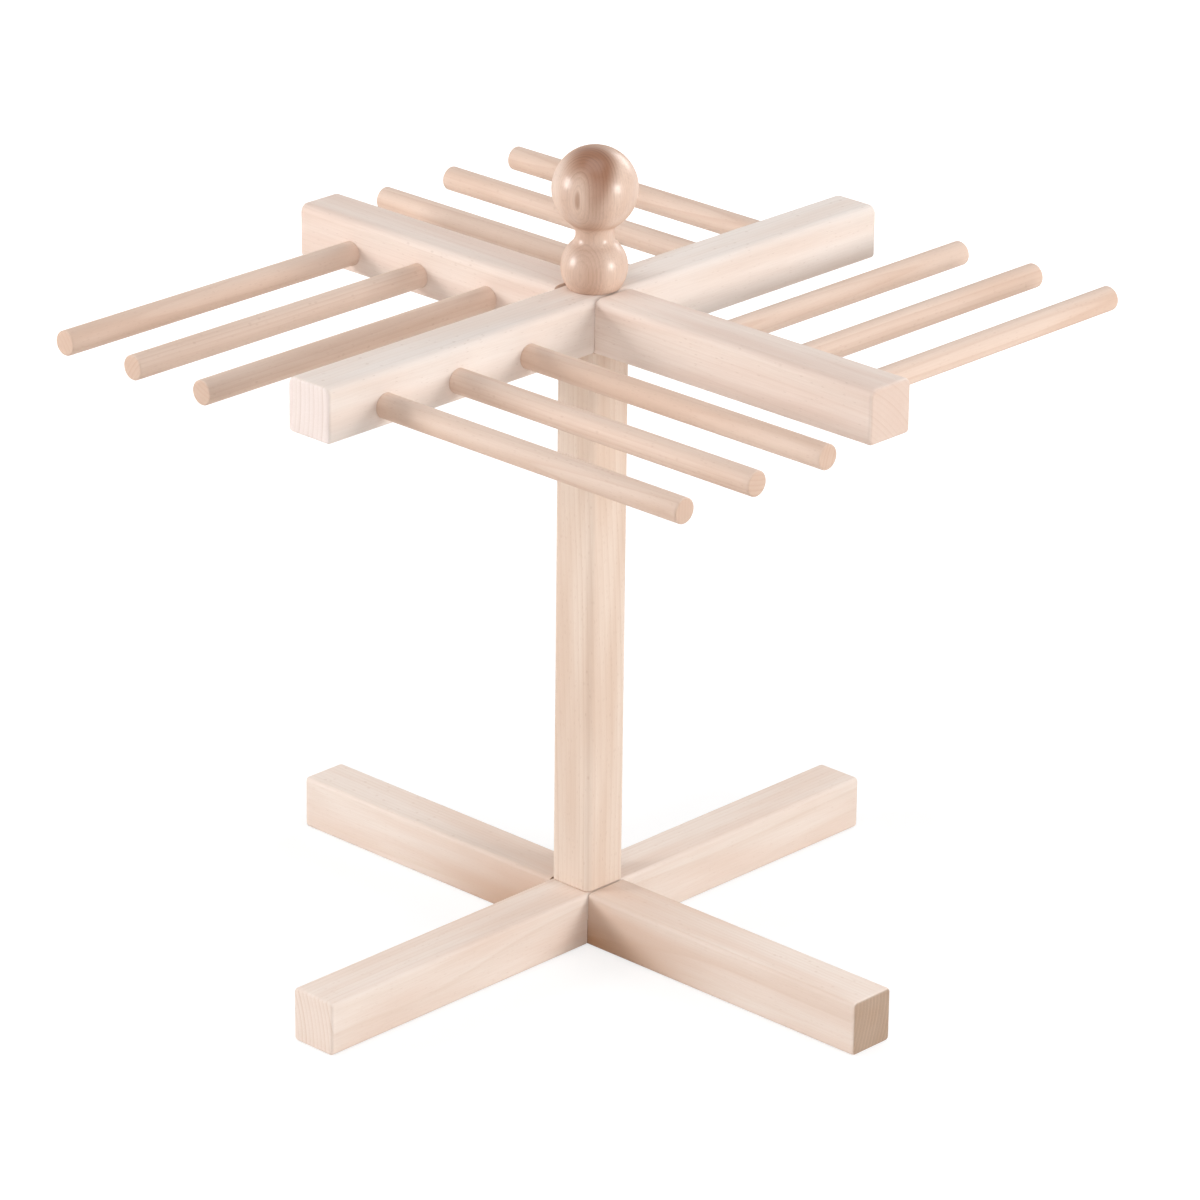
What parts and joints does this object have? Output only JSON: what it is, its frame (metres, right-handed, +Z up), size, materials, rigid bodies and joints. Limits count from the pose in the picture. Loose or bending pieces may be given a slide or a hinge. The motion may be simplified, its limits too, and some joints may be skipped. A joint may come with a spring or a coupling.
{
  "type": "pasta drying rack",
  "caption": "Free-standing wooden rack: a lapped foot cross, a turning post, and an upper cross of arms with round rods all to one side, topped by a turned knob.",
  "frame": {"origin": "on the table, under the middle of the post", "axes": "+Z up along the post; the front left arm points to -Y, the front right arm to +X, and each arm's rods point the way that turns counter-clockwise seen from above"},
  "size_m": [0.3906, 0.3906, 0.3956],
  "materials": {
    "base_beech": "planed beech, bare",
    "cross_beech": "planed pale beech, bare",
    "post_beech": "planed beech, bare",
    "rod_beech": "round beech dowel, bare",
    "knob_beech": "turned beech, clear lacquer"
  },
  "bodies": {
    "base_lower": {"base_bar_lower": "base_beech"},
    "base_upper": {"base_bar_upper": "base_beech"},
    "pivot": {"pivot_dowel": "rod_beech"},
    "post": {"post": "post_beech"},
    "cross_lower": {"cross_bar_lower": "cross_beech", "rod_front_right_inner": "rod_beech", "rod_front_right_middle": "rod_beech", "rod_front_right_outer": "rod_beech", "rod_back_left_inner": "rod_beech", "rod_back_left_middle": "rod_beech", "rod_back_left_outer": "rod_beech"},
    "cross_upper": {"cross_bar_upper": "cross_beech", "rod_front_left_inner": "rod_beech", "rod_front_left_middle": "rod_beech", "rod_front_left_outer": "rod_beech", "rod_back_right_inner": "rod_beech", "rod_back_right_middle": "rod_beech", "rod_back_right_outer": "rod_beech"},
    "knob": {"knob": "knob_beech", "knob_dowel": "rod_beech"}
  },
  "joints": [
    {"name": "base_lap_lift", "type": "slide", "parent": "base_lower", "child": "base_upper", "axis": [0, 0, 1], "range_m": [0, 0.015]},
    {"name": "post_lift", "type": "slide", "parent": "base_upper", "child": "pivot", "axis": [0, 0, 1], "range_m": [0, 0.03]},
    {"name": "carousel_turn", "type": "hinge", "parent": "pivot", "child": "post", "pos_m": [0, 0, 0.027], "axis": [0, 0, 1], "continuous": true},
    {"name": "cross_lift", "type": "slide", "parent": "post", "child": "cross_lower", "axis": [0, 0, 1], "range_m": [0, 0.03]},
    {"name": "cross_lap_lift", "type": "slide", "parent": "cross_lower", "child": "cross_upper", "axis": [0, 0, 1], "range_m": [0, 0.015]},
    {"name": "knob_lift", "type": "slide", "parent": "cross_upper", "child": "knob", "axis": [0, 0, 1], "range_m": [0, 0.055]}
  ]
}
